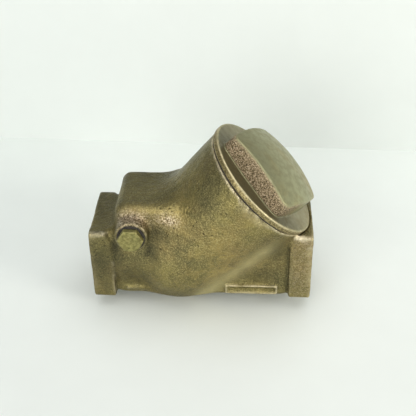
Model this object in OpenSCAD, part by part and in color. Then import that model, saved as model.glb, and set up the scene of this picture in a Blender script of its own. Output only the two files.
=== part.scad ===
// Y-pattern swing check valve with a screwed, square-headed cap.
// Millimetres. The flow runs along +X from the inlet mouth, which is the origin. +Z is up.
// The cap, the seat and the disc share one slanted axis, called the cap axis below.

/* [Body] */
// Face to face length
body_l = 80; // [74:1:96]
// Width and height of the square ends
hub_w = 27.6; // [26.6:0.2:32]
// Length of the square ends
hub_l = 8; // [7:0.5:11]
// Slant of the cap axis above the flow axis, degrees
cap_slant = 45; // [43:0.5:47]
// Distance from the inlet mouth to where the cap axis crosses the flow axis
cross_x = 32; // [31:0.5:36]
// Radius of the round belly
belly_r = 19.6; // [19.2:0.2:22]

/* [Pipe threads] */
// Radius of the pipe thread bore
pipe_r = 9.6; // [9.0:0.1:9.8]
// Depth of the pipe thread bore
pipe_l = 14; // [11:0.5:15]
// Radius of the plain water way
way_r = 8.4; // [7.6:0.1:9.0]

/* [Cap] */
// Radius of the cap flange
flange_r = 23.8; // [23.4:0.2:27]
// Thickness of the cap flange
flange_t = 2.2; // [1.8:0.1:3.2]
// Side of the square head
head_w = 30.4; // [24:0.2:32.8]
// Height of the head at its corners
head_h = 5.4; // [4:0.2:9]
// Turn of the head about the cap axis, degrees
head_turn = 57; // [0:1:90]
// Distance along the cap axis from the crossing to the top of the flange
cap_top = 43; // [42:0.5:48]
// Radius of the cap thread
cap_thread_r = 18; // [17.4:0.1:18.4]

/* [Disc and hanger] */
// Distance from the cap axis to the hinge pin
pin_reach = 22.5; // [22:0.1:23.2]
// Radius of the hinge pin
pin_r = 1.9; // [1.6:0.05:2.2]
// Radius of the seat port
port_r = 6.8; // [6:0.1:7.2]
// Radius of the disc holder
disc_r = 10.8; // [10:0.1:11.2]

/* [Hidden] */
$fn = 96;

// Small overlap used so that joined shapes share volume.
eps = 0.01;
// Radial gap of a turning fit.
run_gap = 0.05;
// Gap left between faces that only touch.
face_gap = 0.04;

// Radial room round the cap flange.
flange_room = 0.3;

// Cap and neck, measured along the cap axis from the crossing.
flange_bottom = cap_top - flange_t;
gasket_t = 0.6;
neck_top = flange_bottom - gasket_t;
neck_top_r = flange_r - 0.4;
skirt_l = 9;
neck_thread_l = 12;
cavity_r = cap_thread_r - 1.5;
dome_r = 53;
head_bow = 1.1;
head_corner_r = head_w / 2 * sqrt(2) - 1;

// Bridge wall and seat, measured along the cap axis.
seat_top = -3.2;
bridge_top = -4.4;
bridge_bottom = -7.0;
seat_ring_r = 9.2;

// Disc parts, measured along the cap axis.
insert_t = 1.6;
insert_bottom = seat_top + face_gap;
insert_top = insert_bottom + insert_t;
insert_r = disc_r - 1.3;
holder_top = insert_top + 2.1;
lip_bottom = insert_bottom + 0.6;
stem_r = 2.4;
stud_r = 1.6;
washer_t = 0.7;
nut_t = 2;
hub_bottom = holder_top + 0.2;
hub_top = hub_bottom + 3.4;
hanger_washer_bottom = hub_top + 0.1;
hanger_nut_bottom = hanger_washer_bottom + washer_t;
stem_top = hanger_nut_bottom + nut_t + 0.6;

// Hinge, across the body along Y.
eye_r = 3.4;
eye_w = 11;
arm_bottom = hub_bottom;
arm_top = hub_bottom + 2.8;
open_angle = 48;
arm_reach = 8;
arm_room_h = 4.1;
pocket_r = eye_r + 0.7;
pocket_w = eye_w + 1.2;
pin_front = -12.2;
pin_back = 10.4;
boss_face = 18.7;
boss_r = 5.9;
plug_thread_r = 3.3;
plug_af = 8.1;
plug_head_t = 2.2;
plug_washer_t = 0.4;

// Hinge box standing on the inlet run.
box_w = 26.8;
box_top = 24.2;
box_x0 = hub_l;
box_x1 = cross_x - 1;

// Run between the ends.
run_w = 26.2;
run_round = 2.8;

// Blank raised pad on the outlet run.
pad_l = 19;
pad_h = 3.8;
pad_t = 0.7;
pad_x = 49;
pad_z = -9.6;

// Moves its children from the cap axis frame (Z along the axis) into the valve frame.
module on_cap_axis() {
    translate([cross_x, 0, 0])
        rotate([0, 90 - cap_slant, 0])
            children();
}

// Puts a cylinder's axis along Y, centred on the hinge pin.
module on_pin_axis() {
    on_cap_axis()
        translate([-pin_reach, 0, 0])
            rotate([90, 0, 0])
                children();
}

// Cylinder along +X from x0 to x1 on the flow axis.
module along_flow(x0, x1, r) {
    translate([x0, 0, 0])
        rotate([0, 90, 0])
            cylinder(h = x1 - x0, r = r);
}

// Ring about the cap axis between two heights.
module axis_ring(z0, z1, r_out, r_in) {
    on_cap_axis()
        difference() {
            translate([0, 0, z0])
                cylinder(h = z1 - z0, r = r_out);
            translate([0, 0, z0 - 1])
                cylinder(h = z1 - z0 + 2, r = r_in);
        }
}

// Hexagon prism across the given flats.
module hex_prism(af, h) {
    cylinder(h = h, r = af / sqrt(3), $fn = 6);
}

// Square with round corners, centred.
module round_square(w, r) {
    union() {
        square([w, w - 2 * r], center = true);
        square([w - 2 * r, w], center = true);
        for (sx = [-1, 1])
            for (sy = [-1, 1])
                translate([sx * (w / 2 - r), sy * (w / 2 - r)])
                    circle(r = r, $fn = 48);
    }
}

// Square whose sides bulge outwards by bow at their middles, centred.
module bowed_square(w, bow) {
    side_r = (pow(w / 2, 2) + pow(bow, 2)) / (2 * bow);
    shift = side_r - w / 2 - bow;
    intersection() {
        translate([shift, 0])
            circle(r = side_r, $fn = 360);
        translate([-shift, 0])
            circle(r = side_r, $fn = 360);
        translate([0, shift])
            circle(r = side_r, $fn = 360);
        translate([0, -shift])
            circle(r = side_r, $fn = 360);
    }
}

// Square pipe end, its inner corners turned down. It starts at X = 0 and points along +X.
module pipe_end() {
    shoulder_r = hub_w / 2 * sqrt(2) + 1;
    intersection() {
        rotate([0, 90, 0])
            linear_extrude(height = hub_l)
                round_square(hub_w, 1.2);
        union() {
            along_flow(-1, hub_l - 3.5, shoulder_r);
            translate([hub_l - 3.5 - eps, 0, 0])
                rotate([0, 90, 0])
                    cylinder(h = 3.5 + 2 * eps, r1 = shoulder_r, r2 = shoulder_r - 4.2);
        }
    }
}

// Flat shape of width w from bottom to top, its two upper corners rounded.
module arch(w, bottom, top, r) {
    union() {
        translate([-w / 2, bottom])
            square([w, top - bottom - r]);
        translate([-w / 2 + r, bottom])
            square([w - 2 * r, top - bottom]);
        for (side = [-1, 1])
            translate([side * (w / 2 - r), top - r])
                circle(r = r, $fn = 48);
    }
}

// Box that houses the hinge, its upper edges rounded.
module hinge_box() {
    span = box_x1 - box_x0;
    intersection() {
        translate([(box_x0 + box_x1) / 2, box_w / 2 + 1, 0])
            rotate([90, 0, 0])
                linear_extrude(height = box_w + 2)
                    arch(span, -4, box_top, 4.2);
        translate([box_x0 - 1, 0, 0])
            rotate([90, 0, 90])
                linear_extrude(height = span + 2)
                    arch(box_w, -5, box_top, 3);
    }
}

// Solid outline of the casting before it is cored.
module body_outside() {
    union() {
        pipe_end();
        translate([body_l, 0, 0])
            mirror([1, 0, 0])
                pipe_end();
        translate([hub_l - 2, 0, 0])
            rotate([0, 90, 0])
                linear_extrude(height = body_l - 2 * hub_l + 4)
                    round_square(run_w, run_round);
        translate([cross_x, 0, 0])
            sphere(r = belly_r);
        on_cap_axis()
            cylinder(h = neck_top, r1 = belly_r - 0.1, r2 = neck_top_r);
        hinge_box();
        on_pin_axis()
            cylinder(h = boss_face, r = boss_r);
        translate([pad_x, -run_w / 2 - pad_t, pad_z - pad_h / 2])
            cube([pad_l, pad_t + 1, pad_h]);
    }
}

// Room for the hanger arm between the pin and the round chamber.
module arm_room() {
    on_cap_axis()
        translate([-pin_reach, pocket_w / 2, 0])
            rotate([90, 0, 0])
                linear_extrude(height = pocket_w)
                    polygon([[0, -pocket_r], [arm_reach, -pocket_r],
                             [arm_reach, arm_reach * tan(open_angle) + arm_room_h / cos(open_angle)],
                             [-arm_room_h * sin(open_angle), arm_room_h * cos(open_angle)]]);
}

// Everything cored or machined out of the casting.
module body_inside() {
    along_flow(-1, pipe_l, pipe_r);
    along_flow(body_l - pipe_l, body_l + 1, pipe_r);
    // Inlet chamber, kept under the bridge wall.
    intersection() {
        union() {
            along_flow(pipe_l - eps, pipe_l + 8, way_r);
            along_flow(pipe_l + 4, cross_x, way_r + 2.4);
        }
        on_cap_axis()
            translate([-60, -60, bridge_bottom - 80])
                cube([120, 120, 80]);
    }
    // Seat port.
    on_cap_axis()
        translate([0, 0, bridge_bottom - 4])
            cylinder(h = 12, r = port_r);
    // Round chamber above the bridge, leaving the seat ring standing.
    difference() {
        on_cap_axis()
            translate([0, 0, bridge_top])
                cylinder(h = neck_top - bridge_top, r = cavity_r);
        on_cap_axis()
            translate([0, 0, bridge_top - 1])
                cylinder(h = seat_top - bridge_top + 1, r = seat_ring_r);
    }
    // Cap thread.
    on_cap_axis()
        translate([0, 0, neck_top - neck_thread_l])
            cylinder(h = neck_thread_l + 1, r = cap_thread_r + run_gap);
    // Outlet way.
    along_flow(cross_x + 6, body_l - pipe_l + eps, way_r);
    // Hinge pocket, arm room, pin hole and plug hole.
    on_pin_axis()
        cylinder(h = pocket_w, r = pocket_r, center = true);
    arm_room();
    on_pin_axis()
        translate([0, 0, -pin_back - 0.2])
            cylinder(h = pin_back + boss_face, r = pin_r + 0.02);
    on_pin_axis()
        translate([0, 0, -pin_front + 0.2])
            cylinder(h = 20, r = plug_thread_r);
    // Room for the gasket and the flange to turn, faced level with the top of the neck.
    on_cap_axis()
        translate([0, 0, neck_top])
            cylinder(h = flange_t + 8, r = flange_r + flange_room);
}

module valve_body() {
    color([0.42, 0.36, 0.22])
        difference() {
            body_outside();
            body_inside();
        }
}

module cap() {
    color([0.50, 0.46, 0.30])
        on_cap_axis()
            difference() {
                union() {
                    translate([0, 0, flange_bottom])
                        cylinder(h = flange_t - 0.5, r = flange_r);
                    translate([0, 0, cap_top - 0.5 - eps])
                        cylinder(h = 0.5 + eps, r1 = flange_r, r2 = flange_r - 0.5);
                    translate([0, 0, flange_bottom - skirt_l])
                        cylinder(h = skirt_l + eps, r = cap_thread_r);
                    intersection() {
                        translate([0, 0, cap_top - eps])
                            rotate([0, 0, head_turn])
                                linear_extrude(height = head_h + 8)
                                    bowed_square(head_w, head_bow);
                        translate([0, 0, cap_top - 1])
                            cylinder(h = head_h + 10, r = head_corner_r);
                        translate([0, 0, cap_top + head_h + pow(head_w, 2) / 4 / dome_r - dome_r])
                            sphere(r = dome_r, $fn = 180);
                    }
                }
                translate([0, 0, flange_bottom - skirt_l - 1])
                    cylinder(h = skirt_l + 0.2, r = cap_thread_r - 3.6);
            }
}

module cap_gasket() {
    color([0.16, 0.15, 0.13])
        axis_ring(neck_top, flange_bottom, neck_top_r - 0.8, cap_thread_r + 0.4);
}

module hinge_pin() {
    color([0.62, 0.60, 0.55])
        on_pin_axis()
            translate([0, 0, -pin_back])
                cylinder(h = pin_back - pin_front, r = pin_r);
}

module pin_plug() {
    color([0.58, 0.52, 0.28])
        on_pin_axis() {
            translate([0, 0, -pin_front + 0.4])
                cylinder(h = boss_face + pin_front - 0.4 + plug_washer_t + eps, r = plug_thread_r);
            translate([0, 0, boss_face + plug_washer_t])
                rotate([0, 0, cap_slant])
                    hex_prism(plug_af, plug_head_t);
        }
}

module plug_washer() {
    color([0.14, 0.13, 0.11])
        on_pin_axis()
            translate([0, 0, boss_face])
                difference() {
                    cylinder(h = plug_washer_t, r = 5.0);
                    translate([0, 0, -1])
                        cylinder(h = plug_washer_t + 2, r = plug_thread_r);
                }
}

module disc_hanger() {
    color([0.55, 0.45, 0.25])
        difference() {
            union() {
                on_pin_axis()
                    cylinder(h = eye_w, r = eye_r, center = true);
                on_cap_axis()
                    translate([0, 0, hub_bottom])
                        cylinder(h = hub_top - hub_bottom, r = 4.8);
                on_cap_axis()
                    translate([0, 0, arm_bottom])
                        linear_extrude(height = arm_top - arm_bottom)
                            polygon([[-pin_reach, -eye_w / 2], [-pin_reach, eye_w / 2],
                                     [0, 4], [0, -4]]);
            }
            on_pin_axis()
                cylinder(h = eye_w + 2, r = pin_r + run_gap, center = true);
            on_cap_axis()
                translate([0, 0, hub_bottom - 1])
                    cylinder(h = hub_top - hub_bottom + 2, r = stem_r + run_gap);
        }
}

module disc_holder() {
    color([0.60, 0.50, 0.28])
        on_cap_axis()
            union() {
                translate([0, 0, insert_top])
                    cylinder(h = holder_top - insert_top, r = disc_r);
                difference() {
                    translate([0, 0, lip_bottom])
                        cylinder(h = insert_top - lip_bottom + eps, r = disc_r);
                    translate([0, 0, lip_bottom - 1])
                        cylinder(h = insert_top - lip_bottom + 1, r = insert_r);
                }
                translate([0, 0, holder_top - eps])
                    cylinder(h = stem_top - holder_top, r = stem_r);
                translate([0, 0, insert_bottom - washer_t - nut_t - 0.6])
                    cylinder(h = insert_top - insert_bottom + washer_t + nut_t + 0.6 + eps, r = stud_r);
            }
}

module seat_disc() {
    color([0.90, 0.89, 0.84])
        axis_ring(insert_bottom, insert_top, insert_r, stud_r);
}

module seat_disc_washer() {
    color([0.66, 0.60, 0.40])
        axis_ring(insert_bottom - washer_t, insert_bottom, 4.4, stud_r);
}

module seat_disc_nut() {
    color([0.66, 0.58, 0.34])
        on_cap_axis()
            translate([0, 0, insert_bottom - washer_t - nut_t])
                difference() {
                    hex_prism(5.4, nut_t);
                    translate([0, 0, -1])
                        cylinder(h = nut_t + 2, r = stud_r);
                }
}

module hanger_washer() {
    color([0.66, 0.60, 0.40])
        axis_ring(hanger_washer_bottom, hanger_nut_bottom, 4.4, stem_r);
}

module hanger_nut() {
    color([0.66, 0.58, 0.34])
        on_cap_axis()
            translate([0, 0, hanger_nut_bottom])
                difference() {
                    hex_prism(7.4, nut_t);
                    translate([0, 0, -1])
                        cylinder(h = nut_t + 2, r = stem_r);
                }
}

valve_body();
cap();
cap_gasket();
hinge_pin();
pin_plug();
plug_washer();
disc_hanger();
disc_holder();
seat_disc();
seat_disc_washer();
seat_disc_nut();
hanger_washer();
hanger_nut();
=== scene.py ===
"""Swing check valve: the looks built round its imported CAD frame, laid out as a Blender add-on."""

import math

import bmesh
import bpy
import numpy as np
import openvdb
from bpy.props import FloatProperty, FloatVectorProperty, IntProperty, PointerProperty
from mathutils import Matrix, Vector


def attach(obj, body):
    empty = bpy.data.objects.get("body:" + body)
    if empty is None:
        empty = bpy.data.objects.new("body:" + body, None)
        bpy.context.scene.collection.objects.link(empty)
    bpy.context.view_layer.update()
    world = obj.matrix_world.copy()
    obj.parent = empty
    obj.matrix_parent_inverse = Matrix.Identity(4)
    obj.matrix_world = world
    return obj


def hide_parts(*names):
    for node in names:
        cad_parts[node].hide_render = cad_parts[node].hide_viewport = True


bl_info = {
    "name": "Swing check valve",
    "version": (1, 0, 0),
    "blender": (4, 5, 0),
    "location": "3D View > Sidebar > Valve",
    "description": "Builds a cast bronze swing check valve on its CAD frame",
    "category": "Object",
}

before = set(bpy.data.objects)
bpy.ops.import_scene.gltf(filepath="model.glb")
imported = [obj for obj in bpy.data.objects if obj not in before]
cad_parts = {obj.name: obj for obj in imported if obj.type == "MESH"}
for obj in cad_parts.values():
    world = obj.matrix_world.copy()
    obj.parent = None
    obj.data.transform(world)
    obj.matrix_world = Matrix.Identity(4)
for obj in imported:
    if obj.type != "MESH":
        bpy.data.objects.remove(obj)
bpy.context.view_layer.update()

# Metres in a millimetre.
MM = 0.001

# Sizes of the valve in millimetres, as in the part's source.
BODY_L = 80.0
HUB_W = 27.6
HUB_L = 8.0
CROSS_X = 32.0
PIPE_R = 9.6
PIPE_L = 14.0
WAY_R = 8.4
NECK_TOP = 40.2
FLANGE_BOTTOM = 40.8
FLANGE_TOP = 43.0
FLANGE_R = 23.8
HEAD_W = 30.4
HEAD_TURN = math.radians(57.0)
CAP_THREAD_R = 18.0
PIN_REACH = 22.5
PIN_R = 1.9
BOSS_FACE = 18.7
SLANT = math.radians(45.0)
DISC_OPEN = math.radians(48.0)
PORT_R = 6.8
SEAT_FACE = -3.2

# Sizes that only the looks need, in millimetres.
BELLY_R = 19.45
NECK_R = 19.35
NECK_FLARE = 4.0
RUN_HALF = 13.2
INLET_GROWTH = 0.4
INLET_DROP = 0.35
PAD_X = 58.4
PAD_Z = -10.1
SIDE_BULGE = 1.1
DOME_R = 53.0
DOME_RISE = 5.4
PLUG_TOP = BOSS_FACE + 2.6

# The cap axis: its direction, and the sideways direction that lies in the valve's middle plane.
AXIS_UP = np.array([math.cos(SLANT), 0.0, math.sin(SLANT)])
AXIS_SIDE = np.array([math.sin(SLANT), 0.0, -math.cos(SLANT)])
PIN_X = CROSS_X - PIN_REACH * AXIS_SIDE[0]
PIN_Z = -PIN_REACH * AXIS_SIDE[2]
CAP_FRAME = Matrix(
    (
        (AXIS_SIDE[0], 0.0, AXIS_UP[0], CROSS_X),
        (0.0, 1.0, 0.0, 0.0),
        (AXIS_SIDE[2], 0.0, AXIS_UP[2], 0.0),
        (0.0, 0.0, 0.0, 1.0),
    )
)

# The pin's line, with its own Z out of the front of the valve.
PIN_FRAME = Matrix.Translation((PIN_X, 0, PIN_Z)) @ Matrix.Rotation(math.pi / 2, 4, "X")

# Spots of painted shade on the casting: strength, place and spread along X, place and spread along Z,
# and how far back in Y each one reaches.
SHADE_SPOTS = (
    (0.90, 25.0, 5.0, 15.5, 3.2, -6),
    (1.00, 23.0, 3.4, 8.0, 6.0, -6),
    (0.90, 15.0, 6.5, -3.5, 5.0, -6),
    (0.70, 14.0, 7.0, 20.0, 3.0, -6),
    (0.60, 36.0, 22.0, -13.0, 6.0, -6),
    (0.75, 60.0, 9.0, -4.0, 4.5, -10),
    (1.00, 10.0, 2.2, 9.0, 8.0, 30),
    (0.85, 67.0, 4.5, 8.0, 6.0, 30),
    (0.55, 17.0, 8.0, -4.0, 7.0, 30),
    (0.90, 3.0, 7.0, 1.0, 16.0, 30),
)


# ---------------------------------------------------------------- solid fields

def smooth_union(a, b, k):
    """The nearer of two distance fields, with a fillet of about k between them."""
    h = np.clip(0.5 + 0.5 * (b - a) / k, 0.0, 1.0)
    return b + (a - b) * h - k * h * (1.0 - h)


def smooth_cut(a, b, k):
    """Field a with b taken away, the rim rounded by about k."""
    return -smooth_union(-a, b, k)


def smooth_common(a, b, k):
    """What both fields share, the rim rounded by about k."""
    return -smooth_union(-a, -b, k)


def round_box(x, y, z, half, r):
    """Box with rounded edges, about the origin of x, y, z."""
    qx = np.abs(x) - (half[0] - r)
    qy = np.abs(y) - (half[1] - r)
    qz = np.abs(z) - (half[2] - r)
    outside = np.sqrt(np.maximum(qx, 0) ** 2 + np.maximum(qy, 0) ** 2 + np.maximum(qz, 0) ** 2)
    return outside + np.minimum(np.maximum(np.maximum(qx, qy), qz), 0.0) - r


def round_bar(y, z, half_y, half_z, r):
    """Endless bar along X with a square section, its edges rounded by r."""
    qy = np.abs(y) - (half_y - r)
    qz = np.abs(z) - (half_z - r)
    outside = np.sqrt(np.maximum(qy, 0) ** 2 + np.maximum(qz, 0) ** 2)
    return outside + np.minimum(np.maximum(qy, qz), 0) - r


def rod(radial, along, r, low, high, edge=0.0):
    """Round bar from low to high, given the distance from its axis and the place along it."""
    q = radial - (r - edge)
    w = np.maximum(low - along, along - high) + edge
    outside = np.sqrt(np.maximum(q, 0) ** 2 + np.maximum(w, 0) ** 2)
    return outside + np.minimum(np.maximum(q, w), 0.0) - edge


def cap_axes(x, z):
    """Height along the cap axis, and the sideways distance from it."""
    s = (x - CROSS_X) * AXIS_UP[0] + z * AXIS_UP[2]
    t = (x - CROSS_X) * AXIS_SIDE[0] + z * AXIS_SIDE[2]
    return s, t


def bell(*terms):
    """Soft spot from (distance, spread) pairs: 1 in the middle, fading outwards."""
    return np.exp(-sum((distance / spread) ** 2 for distance, spread in terms))


def fade(value, start, length):
    """Climbs from 0 at the start to 1 a length further on."""
    return np.clip((value - start) / length, 0, 1)


def lattice_weights(coords, cell):
    """Cubic spline weights that blend random lattice values along one axis."""
    u = coords / cell
    base = np.floor(u).astype(int)
    low = base.min() - 1
    count = base.max() - low + 4
    t = u - base
    weights = np.zeros((len(coords), count), dtype=np.float32)
    rows = np.arange(len(coords))
    parts = (
        (1 - t) ** 3 / 6,
        (3 * t**3 - 6 * t**2 + 4) / 6,
        (-3 * t**3 + 3 * t**2 + 3 * t + 1) / 6,
        t**3 / 6,
    )
    for step, part in enumerate(parts):
        weights[rows, base - low - 1 + step] = part
    return weights


def lumps(xs, ys, zs, cell, seed):
    """Smooth random field on a grid, about -1 to 1, with bumps about two cells apart."""
    wx, wy, wz = (lattice_weights(c, cell) for c in (xs, ys, zs))
    values = np.random.default_rng(seed).uniform(-1, 1, (wx.shape[1], wy.shape[1], wz.shape[1]))
    field = np.tensordot(wx, values.astype(np.float32), (1, 0))
    field = np.tensordot(field, wy, (1, 1))
    field = np.tensordot(field, wz, (1, 1))
    return field * 1.8


def field_mesh(name, field_of, low, high, step, thinning=0.0):
    """Mesh of the surface where field_of is zero, in millimetres inside the box low to high."""
    reach = 3.0
    axes = [np.arange(low[i], high[i] + step, step, dtype=np.float32) for i in range(3)]
    x, y, z = np.meshgrid(*axes, indexing="ij", sparse=True)
    values = field_of(x, y, z, axes).astype(np.float32)
    grid = openvdb.FloatGrid(reach)
    grid.copyFromArray(np.clip(values, -reach, reach))
    points, triangles, quads = grid.convertToPolygons(0.0, thinning)
    points = points * step + np.array(low, dtype=np.float32)
    mesh = bpy.data.meshes.new(name)
    mesh.from_pydata(points.tolist(), [], triangles.tolist() + quads.tolist())
    mesh.validate()
    work = bmesh.new()
    work.from_mesh(mesh)
    bmesh.ops.recalc_face_normals(work, faces=work.faces)
    for face in work.faces:
        face.smooth = True
    work.to_mesh(mesh)
    work.free()
    return mesh


# ---------------------------------------------------------------- mesh helpers

def link(obj):
    """Puts an object in the scene."""
    bpy.context.scene.collection.objects.link(obj)
    return obj


def settle_mesh(mesh, matrix=Matrix.Identity(4)):
    """Moves a mesh from millimetres in its own frame to metres in the valve's frame."""
    mesh.transform(matrix)
    mesh.transform(Matrix.Scale(MM, 4))
    mesh.update()
    return mesh


def add_piece(name, mesh, body, nodes=(), materials=()):
    """Makes a finished piece of a mesh that is already in metres in the valve's frame."""
    obj = link(bpy.data.objects.new(name, mesh))
    for material in materials:
        mesh.materials.append(material)
    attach(obj, body)
    if nodes:
        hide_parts(*nodes)
    return obj


def turned_mesh(name, profile, sides):
    """Solid of revolution about Z from (radius, height) points that start and end on the axis."""
    work = bmesh.new()
    rings = []
    for radius, height in profile:
        if radius < 1e-6:
            rings.append([work.verts.new((0.0, 0.0, height))])
            continue
        ring = []
        for i in range(sides):
            a = 2 * math.pi * i / sides
            ring.append(work.verts.new((radius * math.cos(a), radius * math.sin(a), height)))
        rings.append(ring)
    for lower, upper in zip(rings, rings[1:]):
        for i in range(sides):
            j = (i + 1) % sides
            if len(lower) == 1:
                work.faces.new((lower[0], upper[j], upper[i]))
            elif len(upper) == 1:
                work.faces.new((lower[i], lower[j], upper[0]))
            else:
                work.faces.new((lower[i], lower[j], upper[j], upper[i]))
    bmesh.ops.recalc_face_normals(work, faces=work.faces)
    mesh = bpy.data.meshes.new(name)
    work.to_mesh(mesh)
    work.free()
    return mesh


def soften(mesh):
    """Smooth faces, with edges sharper than 32 degrees kept crisp."""
    mesh.shade_smooth()
    mesh.set_sharp_from_angle(angle=math.radians(32.0))
    return mesh


def evaluated(obj, name):
    """Plain mesh of an object with its modifiers applied. The object is thrown away."""
    bpy.context.view_layer.update()
    graph = bpy.context.evaluated_depsgraph_get()
    mesh = bpy.data.meshes.new_from_object(obj.evaluated_get(graph))
    mesh.name = name
    bpy.data.objects.remove(obj)
    return mesh


def columns(items, key):
    """X, Y and Z of every vertex or face: its place or its normal, as three arrays."""
    flat = np.empty(len(items) * 3, dtype=np.float32)
    items.foreach_get(key, flat)
    return flat.reshape(-1, 3).T


def paint(mesh, name, values):
    """Stores one value from 0 to 1 a vertex for a material to read."""
    layer = mesh.attributes.new(name, "FLOAT", "POINT")
    layer.data.foreach_set("value", np.clip(values, 0, 1).astype(np.float32))


# ---------------------------------------------------------------- node helpers

def input_socket(tree, name, kind, default):
    """Named input on a node tree."""
    socket = tree.interface.new_socket(name, in_out="INPUT", socket_type=kind)
    if default is not None:
        socket.default_value = default


def colour4(colour):
    """Grey value or three colour values as four."""
    if isinstance(colour, (int, float)):
        return (colour, colour, colour, 1.0)
    return (colour[0], colour[1], colour[2], 1.0)


def dimmed(colour, share):
    """The colour at a share of its brightness."""
    return tuple(share * v for v in colour)


def feed(tree, value, socket):
    """Links a socket to another, or sets it to a plain value."""
    if isinstance(value, bpy.types.NodeSocket):
        tree.links.new(value, socket)
    elif socket.type == "RGBA":
        socket.default_value = colour4(value)
    else:
        socket.default_value = value


def add_node(tree, kind, **inputs):
    """Adds a node and feeds its inputs by name, with _ for a space."""
    node = tree.nodes.new(kind)
    for key, value in inputs.items():
        feed(tree, value, node.inputs[key.replace("_", " ")])
    return node


def math_node(tree, operation, a, b):
    """Math node on links or plain numbers; gives its output."""
    node = tree.nodes.new("ShaderNodeMath")
    node.operation = operation
    feed(tree, a, node.inputs[0])
    feed(tree, b, node.inputs[1])
    return node.outputs[0]


def times(tree, a, b):
    """One value times another."""
    return math_node(tree, "MULTIPLY", a, b)


def attribute(tree, name):
    """Value painted on the mesh under this name."""
    node = tree.nodes.new("ShaderNodeAttribute")
    node.attribute_name = name
    return node.outputs["Fac"]


def ramp(tree, factor, stops, mode="LINEAR"):
    """Colour ramp from (place, colour) stops; gives its colour output."""
    node = tree.nodes.new("ShaderNodeValToRGB")
    node.color_ramp.interpolation = mode
    elements = node.color_ramp.elements
    while len(elements) > 1:
        elements.remove(elements[-1])
    elements[0].position, elements[0].color = stops[0][0], colour4(stops[0][1])
    for position, colour in stops[1:]:
        elements.new(position).color = colour4(colour)
    tree.links.new(factor, node.inputs[0])
    return node.outputs[0]


def mix_colour(tree, factor, a, b):
    """Mixes two colours or grey values, each a link or plain."""
    node = tree.nodes.new("ShaderNodeMix")
    node.data_type = "RGBA"
    node.clamp_factor = True
    for index, value in ((0, factor), (6, a), (7, b)):
        feed(tree, value, node.inputs[index])
    return node.outputs[2]


def layered(tree, colour, layers):
    """Lays (mask, amount, colour) layers over a colour, each one over those before it."""
    for mask, amount, over in layers:
        colour = mix_colour(tree, times(tree, mask, amount), colour, over)
    return colour


def noise(tree, vector, scale, detail, rough, warp=0.0):
    """Noise texture value on a vector link."""
    node = add_node(
        tree,
        "ShaderNodeTexNoise",
        Vector=vector,
        Scale=scale,
        Detail=detail,
        Roughness=rough,
        Distortion=warp,
    )
    return node.outputs["Fac"]


def patches(tree, vector, scale, detail, rough, low, high, warp=0.0):
    """Broken patches: noise sharpened between two (noise, value) stops."""
    return ramp(tree, noise(tree, vector, scale, detail, rough, warp), (low, high))


# ---------------------------------------------------------------- shared finishes

def shader_group(name, inputs, outputs):
    """New shader group with a vector, these number inputs and number outputs."""
    tree = bpy.data.node_groups.new(name, "ShaderNodeTree")
    input_socket(tree, "Vector", "NodeSocketVector", None)
    for label, default in inputs:
        input_socket(tree, label, "NodeSocketFloat", default)
    for label in outputs:
        tree.interface.new_socket(label, in_out="OUTPUT", socket_type="NodeSocketFloat")
    return tree, tree.nodes.new("NodeGroupInput").outputs, tree.nodes.new("NodeGroupOutput").inputs


def cast_grain_group():
    """Grain of sand cast metal: a height, and a mask of its pits."""
    tree, start, end = shader_group(
        "Cast Grain", (("Grain Scale", 900.0), ("Pit Scale", 420.0)), ("Height", "Pits")
    )
    vector, grain, pit = start[0], start[1], start[2]
    fine = noise(tree, vector, grain, 3.0, 0.6)
    coarse = noise(tree, vector, times(tree, grain, 0.3), 3.0, 0.6)
    cells = add_node(tree, "ShaderNodeTexVoronoi", Vector=vector, Scale=pit)
    cells.feature = "SMOOTH_F1"
    cells.inputs["Smoothness"].default_value = 0.35
    hole = ramp(tree, cells.outputs["Distance"], ((0.0, 1.0), (0.34, 0.0)), "EASE")
    where = patches(tree, vector, times(tree, pit, 0.28), 2.0, 0.5, (0.46, 0.0), (0.60, 1.0))
    pits = times(tree, hole, where)
    height = math_node(tree, "ADD", times(tree, fine, 0.45), times(tree, coarse, 0.75))
    feed(tree, math_node(tree, "SUBTRACT", height, times(tree, pits, 0.5)), end["Height"])
    feed(tree, pits, end["Pits"])
    return tree


def tarnish_group():
    """Cloudy tarnish: broad dark and warm areas with broken edges, and specks."""
    tree, start, end = shader_group(
        "Tarnish Clouds", (("Cloud Scale", 45.0), ("Speck Scale", 380.0)), ("Dark", "Warm", "Specks")
    )
    vector, cloud, speck = start[0], start[1], start[2]
    dark = patches(tree, vector, cloud, 5.0, 0.62, (0.40, 0.0), (0.66, 1.0), 0.6)
    warm = patches(tree, vector, times(tree, cloud, 0.7), 6.0, 0.66, (0.45, 0.0), (0.70, 1.0), 0.9)
    specks = patches(tree, vector, speck, 3.0, 0.65, (0.42, 0.0), (0.62, 1.0))
    feed(tree, dark, end["Dark"])
    feed(tree, warm, end["Warm"])
    feed(tree, specks, end["Specks"])
    return tree


def edge_wear_group():
    """Where raised edges are rubbed bright and hollows hold grime, from the surface's own curvature."""
    tree, start, end = shader_group("Edge Wear", (("Breakup Scale", 260.0),), ("Rubbed", "Grime"))
    curvature = tree.nodes.new("ShaderNodeNewGeometry").outputs["Pointiness"]
    edges = ramp(tree, curvature, ((0.52, 0.0), (0.565, 1.0)))
    hollows = ramp(tree, curvature, ((0.43, 1.0), (0.488, 0.0)))
    breakup = patches(tree, start[0], start[1], 4.0, 0.6, (0.35, 0.15), (0.62, 1.0))
    feed(tree, times(tree, edges, breakup), end["Rubbed"])
    feed(tree, hollows, end["Grime"])
    return tree


SHARED_GROUPS = {
    "Cast Grain": cast_grain_group,
    "Tarnish Clouds": tarnish_group,
    "Edge Wear": edge_wear_group,
}


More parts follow.
